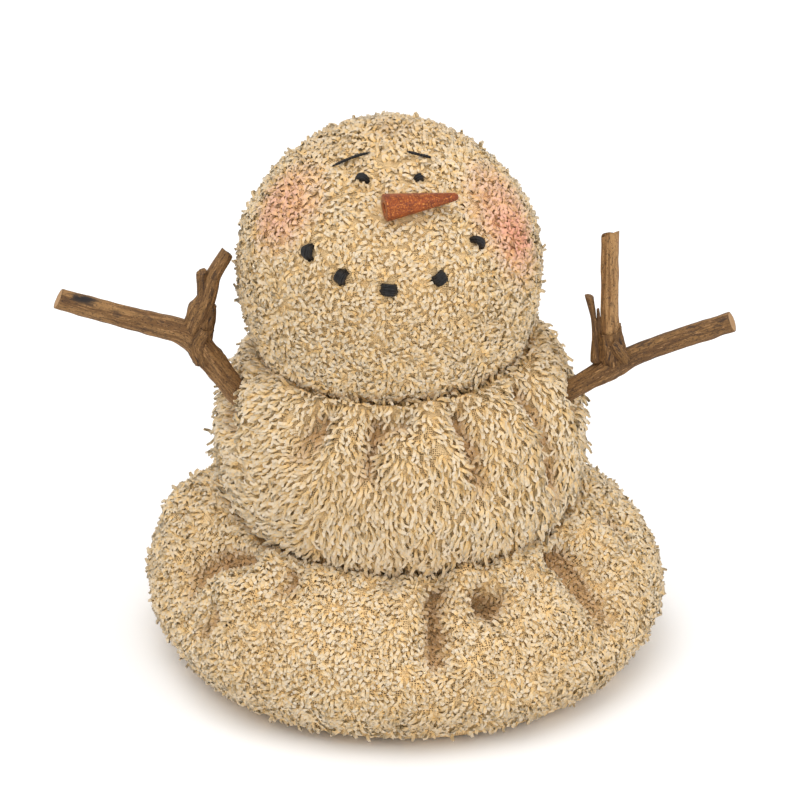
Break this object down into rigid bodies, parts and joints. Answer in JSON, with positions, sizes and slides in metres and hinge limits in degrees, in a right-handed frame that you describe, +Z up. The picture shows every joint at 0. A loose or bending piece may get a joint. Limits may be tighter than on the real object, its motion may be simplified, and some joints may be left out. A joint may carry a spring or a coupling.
{
  "type": "melting snowman plush figure",
  "caption": "Stuffed loop-pile snowman slumped into a puddle-shaped base, with forked twig arms, a wooden carrot nose and a stitched face looking up.",
  "frame": {"origin": "on the surface it stands on, under the middle of the whole figure with its arms", "axes": "+Z up, the face towards -Y, +X towards the right of the front view"},
  "size_m": [0.1858, 0.1419, 0.1606],
  "materials": {
    "loop_pile_cloth": "cream looped pile on an open knitted ground, curly and matt, with a pink blush on both cheeks",
    "painted_wood": "burnt orange paint with golden flecks on turned wood, satin",
    "twig_bark": "dry brown bark with dark streaks and paler cut ends, matt",
    "black_thread": "black embroidery thread laid in satin stitches"
  },
  "bodies": {
    "root": {"base": "loop_pile_cloth", "middle": "loop_pile_cloth", "head": "loop_pile_cloth", "carrot_nose": "painted_wood", "eye_left": "black_thread", "eye_right": "black_thread", "brow_left": "black_thread", "brow_right": "black_thread", "mouth_stitch_1": "black_thread", "mouth_stitch_2": "black_thread", "mouth_stitch_3": "black_thread", "mouth_stitch_4": "black_thread", "mouth_stitch_5": "black_thread", "left_twig_stem": "twig_bark", "left_twig_branch": "twig_bark", "right_twig_stem": "twig_bark", "right_twig_branch": "twig_bark", "right_twig_bark": "twig_bark"}
  },
  "joints": []
}
